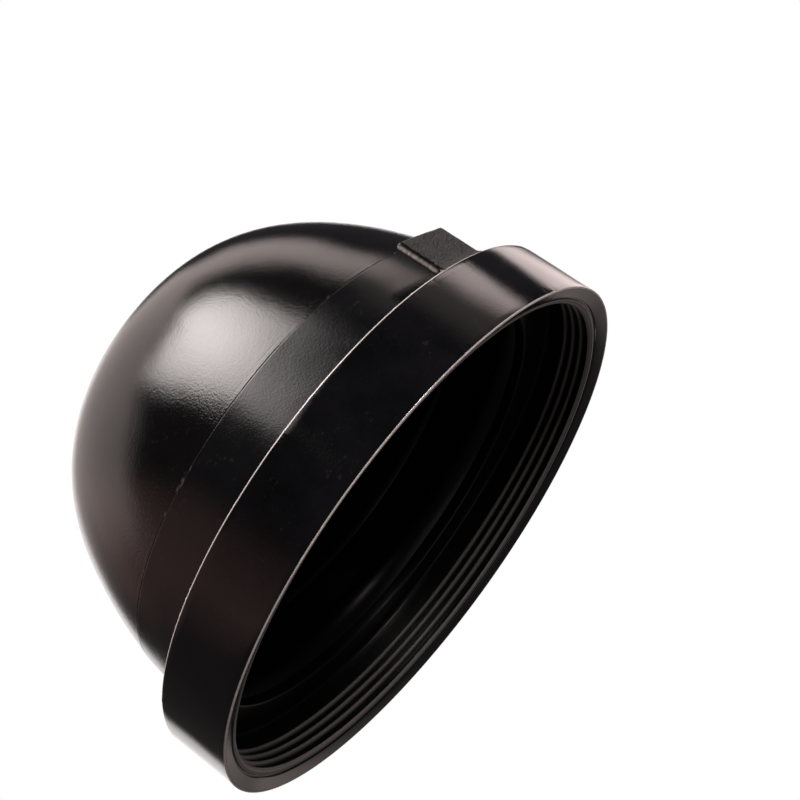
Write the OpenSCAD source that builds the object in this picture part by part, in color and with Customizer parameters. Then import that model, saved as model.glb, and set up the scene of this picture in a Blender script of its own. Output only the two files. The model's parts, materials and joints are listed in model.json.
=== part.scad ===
// Dust cap for the back of a vehicle headlamp: one soft rubber moulding with
// a mouth collar, sealing ribs, a dome and a pull tab.
// The mouth lies on z = 0 and opens downwards; the dome's top is at +Z.
// The tab stands on the -Y side.  Millimetres.

/* [Collar] */
// Outside diameter of the thick collar around the mouth
collar_d = 107; // [98:0.5:120]
// Radial thickness of the collar's wall
collar_wall = 3.5; // [2.5:0.1:4.5]
// Height of the collar, from the rim to its rear edge
collar_h = 14; // [11:0.5:20]
// Thickness of the annular shoulder that closes the collar's rear
shoulder_t = 2.6; // [1.6:0.1:3.5]
// Small edge radius on the collar's outside corners
edge_r = 0.5; // [0.2:0.1:1]
// Width of the flat ring that the rim stands on
rim_land = 0.8; // [0.6:0.1:1.2]
// How deep the rim's face dishes inwards, from that ring to the bore
rim_dish = 1.1; // [0.6:0.1:1.3]

/* [Seal] */
// How far each sealing rib stands in from the collar's wall
rib_h = 0.8; // [0.4:0.1:1.2]
// Width of a rib where it meets the wall
rib_w = 1.2; // [0.9:0.1:1.5]
// Width of the flat crest that grips the lamp's rim
rib_crest = 0.4; // [0.3:0.1:0.6]
// Number of sealing ribs
rib_count = 3; // [2:1:3]
// Height of the first rib's crest above the rim
rib_first = 3.3; // [3.1:0.1:4]
// Distance from one rib's crest to the next
rib_pitch = 1.8; // [1.7:0.1:2.2]
// How far the lip at the rim's inner edge stands in from the wall, as the ribs do
lip_h = 0.8; // [0.4:0.1:1.2]
// Height of that lip
lip_t = 1.0; // [0.8:0.1:1.2]
// Width of the fine groove in the rim's face, just outside the lip
groove_w = 0.4; // [0.2:0.1:0.6]

/* [Dome] */
// Height of the whole cap, from the rim to the dome's top
cap_h = 66; // [58:1:80]
// Outside diameter of the dome's full profile, carried down to the shoulder
dome_d = 95; // [90:0.5:96]
// Outside diameter of the straight skirt, below the parting line, at the shoulder
skirt_d = 94.6; // [92.8:0.2:95]
// Wall thickness of the dome
dome_wall = 3; // [2:0.1:3.5]
// Fullness of the dome's side: a higher value keeps it straight for longer
side_power = 3.2; // [2:0.1:4]
// Fullness of the dome's top: a higher value makes it flatter
top_power = 1.65; // [1.5:0.05:2.5]
// Height of the mould's parting line above the collar
part_h = 12.6; // [10:0.2:30]
// Height of the thickened belt inside the dome's foot
belt_h = 5.4; // [4:0.2:9]
// Radial thickness of that belt
belt_t = 1.4; // [0.8:0.1:2]

/* [Pull tab] */
// Width of the tab, around the collar
tab_w = 11.6; // [6:0.2:14]
// Length of the tab, from the collar's rear face to its free end
tab_l = 9.4; // [7:0.2:12]
// Thickness of the tab
tab_t = 1.8; // [1.4:0.1:2.4]
// How far the tab's outer face lies inside the collar's outer face
tab_inset = 0.5; // [0.3:0.1:1.2]
// Height of the short root that stays on the collar
root_h = 1.5; // [1.2:0.1:2]
// Gap at the flexing line between the root and the tab
flex_gap = 0.3; // [0.3:0.05:0.5]

/* [Hidden] */
$fn = 96;
R = collar_d / 2;                  // collar's outside radius
Rb = R - collar_wall;              // wall of the collar's bore
Rd = dome_d / 2;                   // dome's outside radius at its foot
sh_z = collar_h - shoulder_t;      // front face of the shoulder
belt_top = collar_h + belt_h;
part_z = collar_h + part_h;        // plane of the parting line
Rt = Rd - dome_wall;               // full inner profile's foot radius
in_h = cap_h - dome_wall;          // top of the hollow
steps = 22;                        // points along the dome's profile
rubber = [0.045, 0.045, 0.05];

// Radius at height z of a full dome profile with foot radius r and top z1.
function dome_r(z, r, z1) =
    r * pow(1 - pow((z - collar_h) / (z1 - collar_h), top_power), 1 / side_power);
// Points of that profile, evenly spaced by angle, foot first, without the top.
function dome_pts(r, z1) = [for (i = [0 : steps - 1]) let (t = 90 * i / steps)
    [r * pow(cos(t), 2 / side_power),
     collar_h + (z1 - collar_h) * pow(sin(t), 2 / top_power)]];
function between(pts, z0, z1) = [for (p = pts) if (p[1] > z0 && p[1] < z1) p];
function reversed(pts) = [for (i = [len(pts) - 1 : -1 : 0]) pts[i]];
outer = dome_pts(Rd, cap_h);
inner = dome_pts(Rt, in_h);
Rs = dome_r(belt_top, Rt, in_h);   // plain cylinder behind the belt
tab_y = -(R - tab_inset - tab_t / 2);   // middle plane of the tab
hinge_z = collar_h + root_h + flex_gap + tab_t / 2;

module ring(r1, r0, z0, z1) {
    rotate_extrude() polygon([[r0, z0], [r1, z0], [r1, z1], [r0, z1]]);
}

// The dome below the parting line.
module dome_skirt() color(rubber)
    rotate_extrude() polygon(concat(
        [[skirt_d / 2, collar_h], [dome_r(part_z, Rd, cap_h), part_z], [dome_r(part_z, Rt, in_h), part_z]],
        reversed(between(inner, belt_top + 0.4, part_z - 0.3)),
        [[Rs, belt_top], [Rs, collar_h]]));

// The dome above the parting line.
module dome_crown() color(rubber)
    rotate_extrude() polygon(concat(
        [[dome_r(part_z, Rd, cap_h), part_z]], between(outer, part_z + 0.3, cap_h),
        [[0, cap_h], [0, in_h]], reversed(between(inner, part_z + 0.3, in_h)),
        [[dome_r(part_z, Rt, in_h), part_z]]));

// The collar's wall: the ring it stands on, the dished rim face with its
// groove, and the plain bore.
module mouth_collar() color(rubber)
    difference() {
        rotate_extrude() polygon([
            [Rb, rim_dish], [R - edge_r - rim_land, 0], [R - edge_r, 0], [R - edge_r * 0.3, edge_r * 0.3],
            [R, edge_r], [R, sh_z], [Rb, sh_z]]);
        ring(Rb + 0.5 + groove_w, Rb + 0.5, -1, rim_dish);
    }

// The shoulder: stops the lamp's rim and carries the dome and the tab.
module rear_shoulder() color(rubber)
    rotate_extrude() polygon([
        [Rs - belt_t, sh_z], [R, sh_z], [R, collar_h - edge_r],
        [R - edge_r * 0.3, collar_h - edge_r * 0.3],
        [R - edge_r, collar_h], [Rs - belt_t, collar_h]]);

// One sealing rib, with a flat crest.
module rib(z) {
    rotate_extrude() polygon([
        [Rb, z - rib_w / 2], [Rb, z + rib_w / 2],
        [Rb - rib_h, z + rib_crest / 2], [Rb - rib_h, z - rib_crest / 2]]);
}

module sealing_ribs() color(rubber)
    for (i = [0 : rib_count - 1]) rib(rib_first + i * rib_pitch);

// The lip at the rim's inner edge.
module rim_lip() color(rubber)
    rotate_extrude() polygon([
        [Rb, rim_dish], [Rb, rim_dish + lip_t],
        [Rb - lip_h, rim_dish + lip_t * 0.7], [Rb - lip_h, rim_dish + lip_t * 0.3]]);

// The thickened belt inside the dome's foot.
module inner_belt() color(rubber)
    ring(Rs, Rs - belt_t, collar_h, belt_top);

// The root of the tab, part of the shoulder.
module tab_root() color(rubber)
    translate([-tab_w / 2, tab_y - tab_t / 2, collar_h])
        cube([tab_w, tab_t, root_h]);

// The tab itself: a flat tongue with bullnosed ends, flexing at its root.
module pull_tab() color(rubber) {
    top_z = collar_h + tab_l - tab_t / 2;
    translate([-tab_w / 2, tab_y - tab_t / 2, hinge_z])
        cube([tab_w, tab_t, top_z - hinge_z]);
    for (z = [hinge_z, top_z])
        translate([-tab_w / 2, tab_y, z]) rotate([0, 90, 0])
            cylinder(d = tab_t, h = tab_w, $fn = 32);
}

dome_skirt();
dome_crown();
mouth_collar();
rear_shoulder();
sealing_ribs();
rim_lip();
inner_belt();
tab_root();
pull_tab();
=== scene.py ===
import json
import math

import bmesh
import bpy
import numpy as np
from mathutils import Matrix, Vector, noise


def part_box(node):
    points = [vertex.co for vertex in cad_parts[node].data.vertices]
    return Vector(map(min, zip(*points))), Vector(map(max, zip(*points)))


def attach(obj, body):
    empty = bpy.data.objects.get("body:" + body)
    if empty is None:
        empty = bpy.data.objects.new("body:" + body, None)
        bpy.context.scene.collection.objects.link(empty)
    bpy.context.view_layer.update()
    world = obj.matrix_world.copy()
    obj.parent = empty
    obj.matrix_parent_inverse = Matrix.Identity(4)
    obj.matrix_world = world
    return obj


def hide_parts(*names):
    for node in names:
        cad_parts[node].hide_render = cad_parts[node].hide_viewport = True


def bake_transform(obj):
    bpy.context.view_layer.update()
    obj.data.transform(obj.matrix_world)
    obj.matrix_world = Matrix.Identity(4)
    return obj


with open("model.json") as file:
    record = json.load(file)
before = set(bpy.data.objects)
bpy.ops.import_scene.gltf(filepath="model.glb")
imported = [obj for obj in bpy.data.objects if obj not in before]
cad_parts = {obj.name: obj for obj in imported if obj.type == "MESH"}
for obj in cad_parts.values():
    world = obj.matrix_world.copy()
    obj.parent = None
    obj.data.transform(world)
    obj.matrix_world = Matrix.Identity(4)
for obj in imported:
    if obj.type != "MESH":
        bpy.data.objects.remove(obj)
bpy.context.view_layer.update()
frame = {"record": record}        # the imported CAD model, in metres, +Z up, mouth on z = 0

MM = 0.001


# ---------------------------------------------------------------- dimensions
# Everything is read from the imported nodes, in millimetres.
def lo(n, k):
    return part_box(n)[0][k] / MM


def hi(n, k):
    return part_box(n)[1][k] / MM


R = hi("mouth_collar", 0)            # collar, outside
SH = lo("rear_shoulder", 2)          # front face of the shoulder
HB = hi("rear_shoulder", 2)          # rear face of the collar
RB = hi("sealing_ribs", 0)           # wall of the bore
TOP = hi("dome_crown", 2)            # dome's top
PART_Z = lo("dome_crown", 2)         # plane of the mould's parting line
R_PART = hi("dome_crown", 0)         # dome's radius there
R_FOOT = hi("dome_skirt", 0)         # skirt's radius at the shoulder
RS = hi("inner_belt", 0)             # inner wall of the dome's foot
BELT = hi("inner_belt", 2)           # top of the belt
DISH = lo("rim_lip", 2)              # how deep the rim's face dishes
LIP = hi("rim_lip", 2)
RIB0, RIB1 = lo("sealing_ribs", 2), hi("sealing_ribs", 2)
RIB_W = 1.2
CREST = frame["record"]["mounts"][0]["dims"]["r_mm"]
WALL = 3.0
BELT_R = RS - 1.4
T_LO, T_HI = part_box("pull_tab")
TAB_X = T_HI[0] / MM                 # half the tab's width
TAB_Y0, TAB_Y1 = T_LO[1] / MM, T_HI[1] / MM
TAB_TOP = T_HI[2] / MM
SIDE_P, TOP_P = 3.2, 1.65            # the dome's profile powers, as in the CAD
RD = R_PART / (1 - ((PART_Z - HB) / (TOP - HB)) ** TOP_P) ** (1 / SIDE_P)


def dome_pt(t, r, z0, z1):
    return (r * math.cos(t) ** (2 / SIDE_P), z0 + (z1 - z0) * math.sin(t) ** (2 / TOP_P))


# ---------------------------------------------------------------- mesh tools
def rounded(pts, n=5):
    """A closed (r, z) outline whose corners (r, z, radius) become arcs."""
    out = []
    m = len(pts)
    for i, (x, y, rad) in enumerate(pts):
        p = Vector((x, y))
        if rad <= 0:
            out.append((x, y))
            continue
        a = Vector(pts[i - 1][:2]) - p
        b = Vector(pts[(i + 1) % m][:2]) - p
        la, lb = a.length, b.length
        a.normalize(), b.normalize()
        ang = math.acos(max(-1, min(1, a.dot(b))))
        d = min(rad / math.tan(ang / 2), la * 0.49, lb * 0.49)
        rr = d * math.tan(ang / 2)
        c = p + (a + b).normalized() * (rr / math.sin(ang / 2))
        s, e = p + a * d - c, p + b * d - c
        a0, a1 = math.atan2(s.y, s.x), math.atan2(e.y, e.x)
        da = (a1 - a0 + math.pi) % (2 * math.pi) - math.pi
        for k in range(n + 1):
            q = a0 + da * k / n
            out.append((c.x + rr * math.cos(q), c.y + rr * math.sin(q)))
    return out


def dense(pts, step):
    """Adds points along the long straight runs of a closed outline."""
    out = []
    for i, p in enumerate(pts):
        q = pts[(i + 1) % len(pts)]
        k = max(1, int(math.hypot(q[0] - p[0], q[1] - p[1]) / step))
        out += [(p[0] + (q[0] - p[0]) * j / k, p[1] + (q[1] - p[1]) * j / k) for j in range(k)]
    return out


def lathe(name, loops, seg, shift=None, wear_and_highlight=None, closed=True):
    """Turns (r, z) outlines in millimetres into one mesh. A point on the axis is a pole."""
    verts, faces, wear_and_highlight_values = [], [], []
    th = [2 * math.pi * k / seg for k in range(seg)]
    for prof in loops:
        rows = []
        for i, (r, z) in enumerate(prof):
            if r < 1e-6:
                rows.append([len(verts)])
                verts.append((0, 0, z * MM))
                wear_and_highlight_values.append(0.0)
                continue
            row = []
            for a in th:
                dr, dz = shift(a, r, z, i) if shift else (0, 0)
                row.append(len(verts))
                verts.append(((r + dr) * math.cos(a) * MM, (r + dr) * math.sin(a) * MM, (z + dz) * MM))
                wear_and_highlight_values.append(wear_and_highlight(a, r, z, i) if wear_and_highlight else 0.0)
            rows.append(row)
        pairs = list(zip(rows, rows[1:])) + ([(rows[-1], rows[0])] if closed else [])
        for u, v in pairs:
            if len(u) == 1 and len(v) == 1:
                continue
            for k in range(seg):
                l = (k + 1) % seg
                if len(u) == 1:
                    faces.append((u[0], v[l], v[k]))
                elif len(v) == 1:
                    faces.append((u[k], u[l], v[0]))
                else:
                    faces.append((u[k], u[l], v[l], v[k]))
    return mesh_object(name, verts, faces, {"wear_and_highlight": wear_and_highlight_values})


def mesh_object(name, verts, faces, attrs=None):
    me = bpy.data.meshes.new(name)
    me.from_pydata(verts, [], faces)
    for key, values in (attrs or {}).items():
        at = me.attributes.new(key, "FLOAT", "POINT")
        at.data.foreach_set("value", np.array(values, np.float32))
    bm = bmesh.new()
    bm.from_mesh(me)
    bmesh.ops.recalc_face_normals(bm, faces=bm.faces)
    bm.to_mesh(me)
    bm.free()
    me.polygons.foreach_set("use_smooth", [True] * len(me.polygons))
    me.update()
    o = bpy.data.objects.new(name, me)
    bpy.context.scene.collection.objects.link(o)
    return o


def n3(x, y, z):
    return noise.noise(Vector((x, y, z)))


def ring_noise(a, f, s):
    """Noise around a ring, the same at 0 and at a full turn."""
    return n3(f * math.cos(a) + s, f * math.sin(a), s * 1.7)


# The moulding is soft: every wall wanders a little from the true circle.
def wander(a, r, z):
    c, s = math.cos(a) * r, math.sin(a) * r
    return (0.16 * n3(c / 26 + 3, s / 26, z / 24) + 0.055 * n3(c / 9, s / 9 + 7, z / 9)
            + 0.010 * n3(c / 3.6 + 5, s / 3.6, z / 3.6))


# ---------------------------------------------------------------- dome
SKIRT_H = PART_Z - HB
BEND = (0.14 * SKIRT_H - (R_FOOT - R_PART)) / SKIRT_H ** 2    # leans in 8 degrees at the parting line
LEAN = 0.14 - 2 * BEND * SKIRT_H


def on_outer(z):
    if z < PART_Z:
        t = z - HB
        return R_FOOT - LEAN * t - BEND * t * t
    q = min(1.0, (z - HB) / (TOP - HB))
    return RD * (1 - q ** TOP_P) ** (1 / SIDE_P)


def on_inner(z):
    q = (z - HB) / (TOP - WALL - HB)
    return (RD - WALL) * (1 - q ** TOP_P) ** (1 / SIDE_P)


def seam(a):
    """The parting line wanders a little in height around the dome."""
    return 0.10 * ring_noise(a, 1.3, 5)


def flash(a):
    return max(0.1, min(1.0, 0.5 + 0.9 * ring_noise(a, 10, 2) + 0.4 * ring_noise(a, 45, 6)))


def nick(a, s, rare=0.42):
    """0 along a clean edge, rising to 1 where the flash is torn or left standing."""
    v = ring_noise(a, 62, s)
    w = ring_noise(a, 7, s + 9)
    return max(0.0, min(1.0, (v - rare + 0.35 * w) * 5))


N = 96
ts = [math.pi / 2 * k / N for k in range(N)]
high = [p for p in (dome_pt(t, RD, HB, TOP) for t in ts) if p[1] > PART_Z + 1.6]
near = [(on_outer(z), z) for z in [PART_Z + v for v in (0.12, 0.24, 0.4, 0.6, 0.8, 0.92, 1.04, 1.2, 1.4)]]
hollow = [p for p in (dome_pt(t, RD - WALL, HB, TOP - WALL) for t in ts[::2]) if p[1] > PART_Z + 0.8]
crown_prof = ([(R_PART - 0.9, PART_Z - 0.5), (R_PART - 0.14, PART_Z - 0.04), (R_PART - 0.01, PART_Z + 0.02)] + near + high
              + [(0, TOP), (0, TOP - WALL)] + hollow[::-1] + [(on_inner(PART_Z), PART_Z - 0.1), (on_inner(PART_Z) + 0.8, PART_Z - 0.5)])


def crown_shift(a, r, z, i):
    d = wander(a, r, z) * min(1, r / 12)
    q = z - PART_Z
    if r > on_outer(max(z, PART_Z)) - 0.6:
        d += 0.012 * flash(a) * math.exp(-((q - 0.16) / 0.10) ** 2)
        d -= 0.016 * (0.4 + flash(a + 1)) * math.exp(-((q - 0.0) / 0.08) ** 2)
        d -= 0.012 * flash(a + 2) * math.exp(-((q - 0.92) / 0.10) ** 2)
    return d, seam(a) * max(0, 1 - abs(q) / 2)


def crown_wear(a, r, z, i):
    if r < on_outer(max(z, PART_Z)) - 0.6:
        return 0.0
    return 0.10 * nick(a, 7, 0.30) * math.exp(-((z - PART_Z - 0.16) / 0.10) ** 2)


crown = lathe("dome_crown_skin", [crown_prof], 480, crown_shift, crown_wear)

foot = [(R_FOOT + 1.1 * (1 - math.sin(q)), HB - 0.14 + 1.25 * (1 - math.cos(q)))
        for q in [math.pi / 2 * k / 9 for k in range(10)]]
side = [(on_outer(z), z) for z in np.linspace(HB + 1.6, PART_Z - 0.55, 13)]
skirt_prof = ([(RS - 0.4, HB - 0.14)] + foot + side
              + [(on_outer(PART_Z - 0.3), PART_Z - 0.3), (on_outer(PART_Z - 0.12), PART_Z - 0.12), (R_PART - 0.01, PART_Z - 0.03),
                 (R_PART - 0.25, PART_Z + 0.04), (on_inner(PART_Z) + 0.3, PART_Z + 0.04)]
              + [(on_inner(z), z) for z in np.linspace(PART_Z - 0.3, BELT + 0.2, 6)] + [(RS - 0.4, BELT - 1.0)])


def skirt_shift(a, r, z, i):
    d = wander(a, r, z) * min(1, max(0, (z - HB - 0.4) / 5))
    q = z - PART_Z
    return d, seam(a) * max(0, 1 - abs(q) / 2)


skirt = lathe("dome_skirt_skin", [skirt_prof], 480, skirt_shift,
              lambda a, r, z, i: 0.08 * nick(a, 12, 0.34) * math.exp(-((z - PART_Z + 0.14) / 0.08) ** 2) if r > R_PART - 0.1 else 0.0)

# ---------------------------------------------------------------- collar
def face(r):
    """Height of the dished rim face at radius r."""
    return DISH * max(0.0, (R - 0.46 - r) / (R - 0.46 - RB))


collar_pts = [
    (RB, DISH - 0.1, 0.15), (RB + 0.42, face(RB + 0.42), 0.14), (RB + 0.52, DISH + 0.12, 0.12),
    (RB + 0.80, DISH + 0.08, 0.12), (RB + 0.92, face(RB + 0.92), 0.12),
    (R - 0.46, 0.0, 0.2), (R, 0.0, 0.23), (R, HB, 0.36), (R - 0.9, HB, 0.2), (R - 1.2, HB - 0.02, 0.1), (RS - 1.0, HB - 0.02, 0.0),
    (BELT_R, HB - 0.4, 0.2), (BELT_R, SH, 0.45), (RB, SH, 0.7)]
collar_prof = dense(rounded(collar_pts, 4), 1.0)


def collar_shift(a, r, z, i):
    d = wander(a, r, z) * 0.8 * (1 if z > 0.6 else max(0.0, z) / 0.6)
    if z < 0.5 and r > R - 0.5:
        return d + min(1, max(0, (r - R + 0.5) / 0.3)) * (0.03 * nick(a, 4) - 0.04 * nick(a, 1) + 0.010 * ring_noise(a, 24, 8)), 0
    if z > HB - 0.4 and r > R - 0.5:
        k = min(1, max(0, (r - R + 0.5) / 0.3))
        return d + k * (0.03 * nick(a, 6) - 0.02 * nick(a, 2) + 0.008 * ring_noise(a, 26, 3)), k * (0.03 * nick(a, 6) - 0.015 * nick(a, 2))
    return d, 0


# The pale lines on the front and rear edges are worn flash, made paler than wear alone so that they paint the
# edges' highlights.
def collar_wear_and_highlight(a, r, z, i):
    if z < 0.22 and r > R - 0.42:
        return 0.75 + 0.25 * nick(a, 4)
    if z > HB - 0.26 and R - 0.5 < r:
        return 0.55 + 0.3 * nick(a, 6)
    return 0.0


collar = lathe("collar_band", [collar_prof], 960, collar_shift, collar_wear_and_highlight)

# ---------------------------------------------------------------- seal
pitch = (RIB1 - RIB0 - RIB_W) / 2
rib_loops = []
for k in range(3):
    zc = RIB0 + RIB_W / 2 + k * pitch
    rib_loops.append(rounded([
        (RB + 0.4, zc + 0.6, 0), (RB, zc + 0.6, 0.25), (CREST, zc + 0.2, 0.17),
        (CREST, zc - 0.2, 0.17), (RB, zc - 0.6, 0.25), (RB + 0.4, zc - 0.6, 0)], 3))


def rib_shift(a, r, z, i):
    return wander(a, r, z) * 0.8 + 0.02 * ring_noise(a, 18, z), 0.05 * ring_noise(a, 4, round(z / pitch))


ribs = lathe("seal_rib_rings", rib_loops, 480, rib_shift,
             lambda a, r, z, i: 0.12 if r < CREST + 0.12 else 0.0)
lip = lathe("rim_lip_bead", [rounded([
    (RB + 0.38, face(RB + 0.38) + 0.1, 0), (RB + 0.1, DISH - 0.14, 0.15), (RB - 0.45, DISH + 0.05, 0.3), (CREST, DISH + 0.45, 0.2),
    (CREST, LIP - 0.3, 0.2), (RB, LIP, 0.2), (RB + 0.35, LIP, 0)], 4)],
    480, lambda a, r, z, i: (wander(a, r, z) * 0.8 + 0.02 * ring_noise(a, 40, 2), 0),
    lambda a, r, z, i: 0.15 if r < RB and z < DISH + 0.4 else 0.0)
belt = lathe("foot_belt", [rounded([
    (RS + 0.4, HB - 0.5, 0), (RS + 0.4, BELT - 1.0, 0), (RS - 0.1, BELT - 0.1, 0.4),
    (BELT_R, BELT - 0.3, 0.7), (BELT_R, HB - 0.5, 0)], 5)],
    420, lambda a, r, z, i: (wander(a, r, z) * 0.5 * min(1, max(0, (z - HB) / 3)), 0))

# ---------------------------------------------------------------- pull tab
def tab_mesh():
    yc = (TAB_Y0 + TAB_Y1) / 2
    hb_, ht = (TAB_Y1 - TAB_Y0) / 2, TAB_X
    z0, z1 = HB - 0.25, TAB_TOP
    rings = []
    zs = [z0 + (z1 - z0) * k / 90 for k in range(91)]
    zs += [z1 - 0.02, z1 - 0.006]
    zs = sorted(zs)
    for z in zs:
        s = z1 - z
        # bullnose at the free end and rounded plan corners
        e = math.sqrt(max(0.0, 1 - (1 - min(1, s / hb_)) ** 2))
        plan = 0.7 * (1 - math.sqrt(max(0.0, 1 - (1 - min(1, s / 0.7)) ** 2)))
        f = max(0.0, 1 - (z - HB) / 0.9)
        flare = 0.75 * (1 - math.sqrt(max(0.0, 1 - f * f)))
        b = hb_ * max(e, 0.03) + flare * 0.25
        a = ht - plan + flare * 0.7
        rings.append((z, a, b, b * 0.86))
    def s_end(z):
        return max(0.0, z1 - z)

    verts, faces, wear_and_highlight_values, grains = [], [], [], []
    for z, a, b, c in rings:
        pts = []
        q = 6
        for (sx, sy, a0) in ((1, 1, 0), (-1, 1, 90), (-1, -1, 180), (1, -1, 270)):
            for k in range(q + 1):
                t = math.radians(a0 + 90 * k / q)
                pts.append((sx * (a - c) + c * math.cos(t), sy * (b - c) + c * math.sin(t)))
        full = []
        for i, p in enumerate(pts):
            w = pts[(i + 1) % len(pts)]
            k = 1 if (i + 1) % (q + 1) else (56 if (i + 1) // (q + 1) % 2 else 3)
            full += [(p[0] + (w[0] - p[0]) * j / k, p[1] + (w[1] - p[1]) * j / k) for j in range(k)]
        M = len(full)
        for x, y in full:
            flat = max(0.0, min(1.0, (abs(y) - b * 0.72) / (b * 0.25) if b > 0 else 0)) * min(1, max(0, (ht - abs(x)) / 0.5))
            g = 0.08 * abs(n3(x * 1.7, y * 0.5, z * 1.7)) + 0.05 * n3(x * 3.6 + 9, y, z * 3.6) + 0.05 * n3(x / 3, y / 3, z / 3)
            t = max(0.0, (z - HB) / (z1 - HB))
            bow = 0.12 * math.cos(x / ht * 1.4) - 0.06
            skew = 0.95 * (x / ht + 1) / 2 * t * t
            up = min(1, max(0, (z - HB - 0.5) / 0.8)) * min(1, s_end(z) / 0.8)
            # painted highlight: a pale line down the middle of the rounded side bead, carried in the wear values
            bead_highlight = max(0.0, 1 - abs(y) / (b * 0.6)) if abs(x) > a - 0.3 else 0.0
            dx = math.copysign(0.036 * math.sin(2 * math.pi * z / 0.56 + 2.5 * n3(z * 0.9, 5, 0)) * (1 - flat) * up, x) if abs(x) > a - c - 0.05 else 0.0
            verts.append(((x + dx) * MM, (yc + y - bow * t + g * flat * min(1, t * 4)) * MM, (z - skew) * MM))
            wear_and_highlight_values.append((0.6 + 0.5 * n3(x, y, z * 2.2)) * bead_highlight * up)
            grains.append(flat)
    for k in range(len(rings) - 1):
        for i in range(M):
            j = (i + 1) % M
            faces.append((k * M + i, k * M + j, (k + 1) * M + j, (k + 1) * M + i))
    faces.append(tuple(range(M))[::-1])
    faces.append(tuple((len(rings) - 1) * M + i for i in range(M)))
    return mesh_object("tab_tongue", verts, faces, {"wear_and_highlight": wear_and_highlight_values, "grain": grains})


tab = tab_mesh()

# ---------------------------------------------------------------- materials
def node_mat(name):
    m = bpy.data.materials.new(name)
    m.use_nodes = True
    nt = m.node_tree
    for n in list(nt.nodes):
        nt.nodes.remove(n)
    out = nt.nodes.new("ShaderNodeOutputMaterial")
    b = nt.nodes.new("ShaderNodeBsdfPrincipled")
    nt.links.new(b.outputs[0], out.inputs[0])
    return m, nt, b


def add(nt, kind, **kw):
    n = nt.nodes.new(kind)
    for k, v in kw.items():
        setattr(n, k, v)
    return n


def tex(nt, co, kind, scale, detail=2.0, rough=0.5, **kw):
    n = add(nt, kind)
    nt.links.new(co, n.inputs["Vector"])
    n.inputs["Scale"].default_value = scale
    if "Detail" in n.inputs:
        n.inputs["Detail"].default_value = detail
    if "Roughness" in n.inputs:
        n.inputs["Roughness"].default_value = rough
    for k, v in kw.items():
        n.inputs[k].default_value = v
    return n


def ramp(nt, fac, a, b, c0=(0, 0, 0, 1), c1=(1, 1, 1, 1)):
    r = add(nt, "ShaderNodeValToRGB")
    r.color_ramp.elements[0].position, r.color_ramp.elements[0].color = a, c0
    r.color_ramp.elements[1].position, r.color_ramp.elements[1].color = b, c1
    nt.links.new(fac, r.inputs[0])
    return r.outputs[0]


def maths(nt, op, a, b=None, clamp=False):
    m = add(nt, "ShaderNodeMath", operation=op, use_clamp=clamp)
    for i, v in enumerate((a, b)):
        if v is None:
            continue
        if isinstance(v, (int, float)):
            m.inputs[i].default_value = v
        else:
            nt.links.new(v, m.inputs[i])
    return m.outputs[0]


def mix_rgb(nt, fac, a, b):
    m = add(nt, "ShaderNodeMix", data_type="RGBA")
    for s, v in ((m.inputs[0], fac), (m.inputs[6], a), (m.inputs[7], b)):
        if isinstance(v, (int, float, tuple)):
            s.default_value = v
        else:
            nt.links.new(v, s)
    return m.outputs[2]


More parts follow.
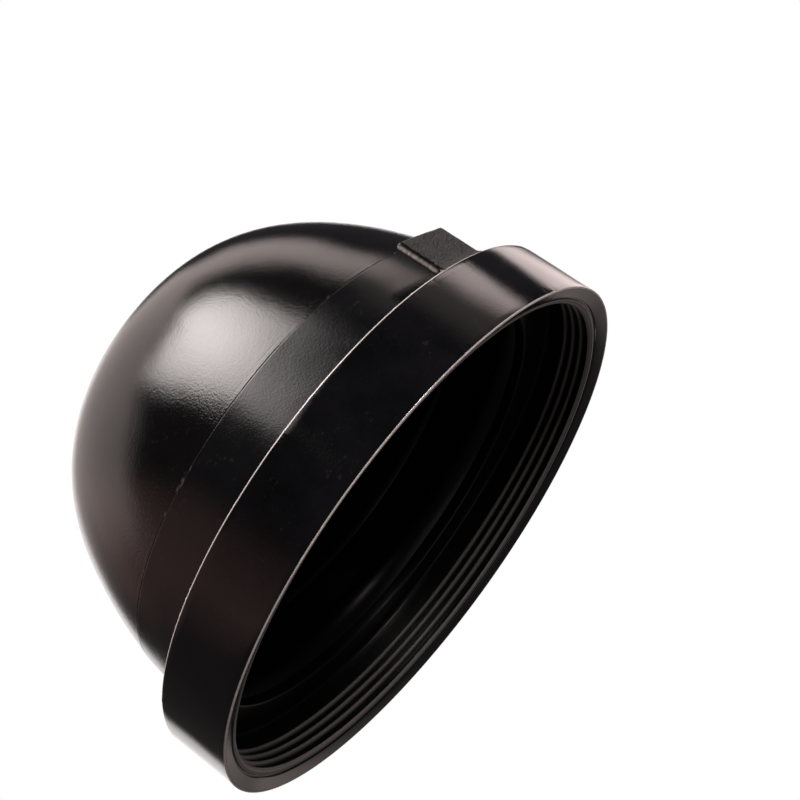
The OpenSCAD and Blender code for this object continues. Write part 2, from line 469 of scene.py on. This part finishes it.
def rubber(name, dark, light, r0, r1, grain, grain_scale, scratch=1.0, bloom=1.0, smooth_side=None, depth=0.00012,
           spec_level=0.5):
    m, nt, b = node_mat(name)
    co = add(nt, "ShaderNodeTexCoord").outputs["Object"]
    # broad mottling of the surface's bloom
    big = tex(nt, co, "ShaderNodeTexNoise", 55, 5, 0.62).outputs[0]
    mid = tex(nt, co, "ShaderNodeTexNoise", 210, 6, 0.6).outputs[0]
    spec = tex(nt, co, "ShaderNodeTexNoise", 1500, 3, 0.55).outputs[0]
    # fine scratches: long thin cells of stretched noise in two directions
    sc = []
    for rot, scl in (((0.5, 0.9, 0.3), (1.0, 0.03, 1.0)), ((1.1, 0.2, 0.8), (0.04, 1.0, 1.0))):
        mp = add(nt, "ShaderNodeMapping")
        nt.links.new(co, mp.inputs["Vector"])
        mp.inputs["Rotation"].default_value = rot
        mp.inputs["Scale"].default_value = scl
        s = tex(nt, mp.outputs[0], "ShaderNodeTexNoise", 1100, 2, 0.5).outputs[0]
        sc.append(ramp(nt, s, 0.665, 0.70))
    scr = maths(nt, "MAXIMUM", sc[0], sc[1])
    scr = maths(nt, "MULTIPLY", scr, ramp(nt, mid, 0.50, 0.62))
    at = add(nt, "ShaderNodeAttribute", attribute_name="wear_and_highlight").outputs["Fac"]
    # colour: near black, a little warmer and cooler in turn, greyer where worn; the same mask also paints pale
    # highlight lines along the collar's and the tab's edges
    col = mix_rgb(nt, ramp(nt, big, 0.35, 0.68), dark, light)
    col = mix_rgb(nt, maths(nt, "MULTIPLY", ramp(nt, spec, 0.66, 0.74), 0.35 * bloom), col, (0.05, 0.048, 0.046, 1))
    col = mix_rgb(nt, maths(nt, "MULTIPLY", scr, 0.25 * scratch), col, (0.06, 0.06, 0.062, 1))
    col = mix_rgb(nt, at, col, (0.80, 0.74, 0.71, 1))
    nt.links.new(col, b.inputs["Base Color"])
    # roughness
    rg = maths(nt, "MULTIPLY", ramp(nt, mid, 0.3, 0.75), (r1 - r0) * 0.6)
    rg = maths(nt, "ADD", rg, maths(nt, "MULTIPLY", ramp(nt, big, 0.3, 0.7), (r1 - r0) * 0.4))
    rg = maths(nt, "ADD", rg, r0)
    rg = maths(nt, "ADD", rg, maths(nt, "MULTIPLY", scr, 0.12 * scratch))
    rg = maths(nt, "ADD", rg, maths(nt, "MULTIPLY", at, 0.10), True)
    # the grained skin stops at the rounded sides, which are smooth
    side = add(nt, "ShaderNodeAttribute", attribute_name="grain").outputs["Fac"] if smooth_side else None
    if smooth_side:
        rg = maths(nt, "ADD", maths(nt, "MULTIPLY", maths(nt, "SUBTRACT", rg, smooth_side), side), smooth_side)
    nt.links.new(rg, b.inputs["Roughness"])
    # relief: fine moulded skin plus scratches
    g = tex(nt, co, "ShaderNodeTexNoise", grain_scale, 4, 0.6).outputs[0]
    bp = add(nt, "ShaderNodeBump")
    bp.inputs["Strength"].default_value = grain
    bp.inputs["Distance"].default_value = depth
    h = maths(nt, "ADD", g, maths(nt, "MULTIPLY", mid, 0.8))
    h = maths(nt, "SUBTRACT", h, maths(nt, "MULTIPLY", scr, 0.35 * scratch))
    if smooth_side:
        h = maths(nt, "MULTIPLY", h, side)
    nt.links.new(h, bp.inputs["Height"])
    nt.links.new(bp.outputs[0], b.inputs["Normal"])
    b.inputs["IOR"].default_value = 1.54
    b.inputs["Specular IOR Level"].default_value = spec_level
    return m


crown_mat = rubber("crown_rubber", (0.0012, 0.0010, 0.0012, 1), (0.0029, 0.0025, 0.0027, 1), 0.07, 0.12, 0.24, 2600, 0.4, 0.25)
skirt_mat = rubber("skirt_rubber", (0.0010, 0.0010, 0.0013, 1), (0.0028, 0.0030, 0.0037, 1), 0.14, 0.20, 0.15, 2600, 0.4, 0.2)
band_mat = rubber("band_rubber", (0.0009, 0.0008, 0.0010, 1), (0.0048, 0.0045, 0.0055, 1), 0.055, 0.10, 0.10, 2600, 0.4, 0.25)
# The bore rubber is rougher, and its gloss is turned well down: painted shade that keeps the hollow, ribs and lip
# dark.
bore_and_shade_rubber = rubber("bore_rubber_and_shade", (0.0016, 0.0016, 0.0016, 1), (0.0026, 0.0026, 0.0026, 1), 0.28, 0.36, 0.12, 2400, 0.3, 0.2,
                spec_level=0.15)
grained = rubber("grained_rubber", (0.0018, 0.0016, 0.0018, 1), (0.006, 0.0053, 0.0057, 1), 0.32, 0.44, 1.0, 2300, 0.1, 0.9, 0.12, 0.0006,
                 spec_level=0.4)

for o, m in ((crown, crown_mat), (skirt, skirt_mat), (collar, band_mat), (ribs, bore_and_shade_rubber), (lip, bore_and_shade_rubber),
             (belt, bore_and_shade_rubber), (tab, grained)):
    o.data.materials.append(m)


def line_inside(o, test):
    """Gives the hollow's side of a piece the duller bore finish, whose turned-down gloss is painted shade."""
    o.data.materials.append(bore_and_shade_rubber)
    for p in o.data.polygons:
        c = p.center / MM
        if test(math.hypot(c.x, c.y), c.z):
            p.material_index = 1


line_inside(crown, lambda r, z: z < PART_Z - 0.06 or r < on_outer(max(z, PART_Z)) - 0.6 and z < TOP - WALL * 0.5)
line_inside(skirt, lambda r, z: r < on_outer(z) - 0.6)
line_inside(collar, lambda r, z: r < RB + 0.3 and z > DISH + 0.2)

# ---------------------------------------------------------------- riding
for o, nodes in ((crown, ["dome_crown"]), (skirt, ["dome_skirt"]), (collar, ["mouth_collar", "rear_shoulder"]),
                 (ribs, ["sealing_ribs"]), (lip, ["rim_lip"]), (belt, ["inner_belt"])):
    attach(o, "cap")
    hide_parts(*nodes)
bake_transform(tab)
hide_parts("tab_root", "pull_tab")

# ---------------------------------------------------------------- camera
cam_data = bpy.data.cameras.new("camera")
cam = bpy.data.objects.new("camera", cam_data)
bpy.context.scene.collection.objects.link(cam)
right = Vector((0.559213, -0.296031, -0.774369))
down = Vector((-0.336912, 0.772308, -0.538545))
fwd = Vector((0.757477, 0.562055, 0.332148))
cam_rot = Matrix((right, -down, -fwd)).transposed()
cam_pos = Vector((-0.218305, -0.184645, -0.080260))
cam.matrix_world = Matrix.Translation(cam_pos) @ cam_rot.to_4x4()
cam_data.sensor_width = 36.0
cam_data.lens = 75.02
cam_data.clip_start = 0.01
cam_data.clip_end = 60.0
bpy.context.scene.camera = cam

# ---------------------------------------------------------------- light
# Surroundings: white to the eye. The gloss sees a dim studio with a large key softbox above and to the left,
# a sloping overhead strip behind it, grey walls at the left, a warm table glow low down and a pale backdrop.
world = bpy.data.worlds.new("studio")
bpy.context.scene.world = world
world.use_nodes = True
wn = world.node_tree
for n in list(wn.nodes):
    wn.nodes.remove(n)
wout = wn.nodes.new("ShaderNodeOutputWorld")
way = wn.nodes.new("ShaderNodeTexCoord").outputs["Generated"]


def along(v):
    d = wn.nodes.new("ShaderNodeVectorMath")
    d.operation = "DOT_PRODUCT"
    wn.links.new(way, d.inputs[0])
    d.inputs[1].default_value = tuple(v)
    return d.outputs["Value"]


wx, wy, wz = (along(cam_rot @ Vector(v)) for v in ((1, 0, 0), (0, 1, 0), (0, 0, 1)))
lon = maths(wn, "MULTIPLY", maths(wn, "ARCTAN2", wx, wz), 57.29578)
lon_b = maths(wn, "MULTIPLY", maths(wn, "ARCTAN2", maths(wn, "MULTIPLY", wx, -1.0), maths(wn, "MULTIPLY", wz, -1.0)), 57.29578)
lat = maths(wn, "MULTIPLY", maths(wn, "ARCSINE", wy), 57.29578)
# nothing in a real studio has a ruled edge: the outlines waver by a degree or two
for_lon = maths(wn, "MULTIPLY", maths(wn, "SUBTRACT", tex(wn, way, "ShaderNodeTexNoise", 4.5, 3, 0.55).outputs[0], 0.5), 9.0)
for_lat = maths(wn, "MULTIPLY", maths(wn, "SUBTRACT", tex(wn, way, "ShaderNodeTexNoise", 5.3, 3, 0.55, Distortion=0.3).outputs[0], 0.5), 7.0)
lon = maths(wn, "ADD", lon, for_lon)
lat = maths(wn, "ADD", lat, for_lat)


def step(v, e0, e1):
    m = wn.nodes.new("ShaderNodeMapRange")
    m.interpolation_type = "SMOOTHSTEP"
    wn.links.new(v, m.inputs["Value"])
    m.inputs["From Min"].default_value = min(e0, e1)
    m.inputs["From Max"].default_value = max(e0, e1)
    m.inputs["To Min"].default_value = 0.0 if e0 < e1 else 1.0
    m.inputs["To Max"].default_value = 1.0 if e0 < e1 else 0.0
    return m.outputs["Result"]


def patch(u, a0, a1, b0, b1, v, c0, c1, d0, d1):
    """1 inside a soft-edged window: rises a0..a1 and falls b0..b1 in u, rises c0..c1 and falls d0..d1 in v."""
    f = maths(wn, "MULTIPLY", step(u, a0, a1), step(u, b1, b0))
    g = maths(wn, "MULTIPLY", step(v, c0, c1), step(v, d1, d0))
    return maths(wn, "MULTIPLY", f, g)


def bell(u, u0, su, v, v0, sv):
    p = maths(wn, "POWER", maths(wn, "ABSOLUTE", maths(wn, "DIVIDE", maths(wn, "SUBTRACT", u, u0), su)), 2.0)
    q = maths(wn, "POWER", maths(wn, "ABSOLUTE", maths(wn, "DIVIDE", maths(wn, "SUBTRACT", v, v0), sv)), 2.0)
    return maths(wn, "EXPONENT", maths(wn, "MULTIPLY", maths(wn, "ADD", p, q), -1.0))


total = None


def shine(mask, level, colour):
    global total
    c = wn.nodes.new("ShaderNodeVectorMath")
    c.operation = "SCALE"
    c.inputs[0].default_value = tuple(k * level for k in colour)
    if isinstance(mask, float):
        c.inputs["Scale"].default_value = mask
    else:
        wn.links.new(mask, c.inputs["Scale"])
    if total is None:
        total = c.outputs["Vector"]
        return
    t = wn.nodes.new("ShaderNodeVectorMath")
    t.operation = "ADD"
    wn.links.new(total, t.inputs[0])
    wn.links.new(c.outputs["Vector"], t.inputs[1])
    total = t.outputs["Vector"]


def mul(p, q):
    return maths(wn, "MULTIPLY", p, q)


def plus(p, q):
    return maths(wn, "ADD", p, q)


def less(p, q):
    return maths(wn, "SUBTRACT", p, q)


def over(p, q):
    return maths(wn, "MAXIMUM", p, q)


KEY = (1.0, 0.925, 0.905)
PINK = (1.0, 0.84, 0.81)
GREY = (1.0, 0.85, 0.81)
WARM = (1.0, 0.70, 0.62)
shine(1.0, 0.045, (0.95, 0.93, 1.0))
shine(step(lat, 15, -25), 0.03, WARM)
# fill above and to the right of the lens; it never reaches into the mouth
shine(patch(lon, 5, 11, 24, 30, lat, 30, 36, 47, 52), 30.0, KEY)
# key softbox: its lower and upper edges slope, its left edge opens out at the top, its right side fades
k_low = less(lat, plus(less(mul(plus(lon, 98.0), 0.23), mul(over(plus(lon, 66.0), 0.0), 0.34)), 25.0))
k_top = less(plus(mul(maths(wn, "MINIMUM", plus(lon, 106.0), 0.0), 0.72), plus(mul(over(plus(lon, 106.0), 0.0), 0.235), 62.0)), lat)
k_left = plus(lon, plus(mul(step(lat, 38, 48), 16.0), 100.0))
box_mask = mul(mul(step(k_low, -1, 2), step(k_top, -2, 1)), mul(step(k_left, -1.5, 1.5), step(lon, -28, -62)))
shine(box_mask, 4.6, KEY)
shine(mul(box_mask, bell(lon, -84, 30, lat, 48, 15)), 8.2, KEY)
# grey wall at the left that runs on overhead as a sloping strip
s_low = less(lat, less(57.0, mul(over(plus(lon_b, 1.0), 0.0), 0.95)))
s_top = less(less(72.0, mul(over(less(lon_b, 14.0), 0.0), 0.83)), lat)
strip = mul(mul(step(s_low, -1.5, 2), step(s_top, -6, 3)), mul(step(lon_b, -30, -18), step(lon_b, 60, 36)))
wall = patch(lon, -157, -152, -102, -96, lat, -24, -6, 41, 46)
shine(mul(over(wall, strip), over(plus(mul(lat, 0.017), 0.80), 0.55)), 1.0, GREY)
shine(patch(lon, -136, -120, -70, -38, lat, -34, -22, -8, 4), 0.26, (1.0, 0.52, 0.46))
# right side: a small high panel with a sharp lower edge, then a dark gap, then the pale backdrop
shine(patch(lon, 110, 125, 168, 176, lat, -38, -22, -14, -6), 0.22, GREY)
shine(patch(lon, 120, 135, 144, 149, lat, -32, -24, -14, -6), 0.28, GREY)
shine(patch(lon, 20, 32, 78, 95, lat, -58, -44, -16, -6), 0.6, KEY)
shine(patch(lon, 110, 138, 146, 152, lat, 55.5, 57.5, 66, 79), 3.1, PINK)
shine(patch(lon_b, -36, -30, -19, -10, lat, -4, 8, 37, 42), 2.4, PINK)
shine(patch(lon, 40, 100, 146, 152, lat, 56, 60, 80, 89), 0.35, PINK)
shine(patch(lon_b, 2, 8, 24, 32, lat, -50, -38, 10, 15), 1.25, (1, 0.96, 0.95))
away = maths(wn, "SQRT", plus(mul(lon_b, lon_b), mul(lat, lat)))
shine(step(away, 17, 12), 1.5, (1, 0.97, 0.96))

bg = wn.nodes.new("ShaderNodeBackground")
wn.links.new(total, bg.inputs[0])
bgw = wn.nodes.new("ShaderNodeBackground")
bgw.inputs[0].default_value = (1, 1, 1, 1)
bgw.inputs[1].default_value = 1.0
lp = wn.nodes.new("ShaderNodeLightPath")
mx = wn.nodes.new("ShaderNodeMixShader")
wn.links.new(lp.outputs["Is Camera Ray"], mx.inputs[0])
wn.links.new(bg.outputs[0], mx.inputs[1])
wn.links.new(bgw.outputs[0], mx.inputs[2])
wn.links.new(mx.outputs[0], wout.inputs[0])

# Floor: pale, under the rim; it can be looked through from below, where the main view is.
fl = mesh_object("floor", [(-4, -4, -0.0004), (4, -4, -0.0004), (4, 4, -0.0004), (-4, 4, -0.0004)], [(0, 1, 2, 3)])
fm = bpy.data.materials.new("pale_floor")
fm.use_nodes = True
ft = fm.node_tree
for n in list(ft.nodes):
    ft.nodes.remove(n)
fo = ft.nodes.new("ShaderNodeOutputMaterial")
fd = ft.nodes.new("ShaderNodeBsdfDiffuse")
fd.inputs[0].default_value = (0.86, 0.86, 0.86, 1)
ftr = ft.nodes.new("ShaderNodeBsdfTransparent")
fmx = ft.nodes.new("ShaderNodeMixShader")
fg = ft.nodes.new("ShaderNodeNewGeometry")
flp = ft.nodes.new("ShaderNodeLightPath")
front = maths(ft, "SUBTRACT", 1.0, fg.outputs["Backfacing"])
seen = maths(ft, "MULTIPLY", front, flp.outputs["Is Camera Ray"])
ft.links.new(seen, fmx.inputs[0])
ft.links.new(ftr.outputs[0], fmx.inputs[1])
ft.links.new(fd.outputs[0], fmx.inputs[2])
ft.links.new(fmx.outputs[0], fo.inputs[0])
fl.data.materials.append(fm)

bpy.context.scene.view_settings.view_transform = "Standard"
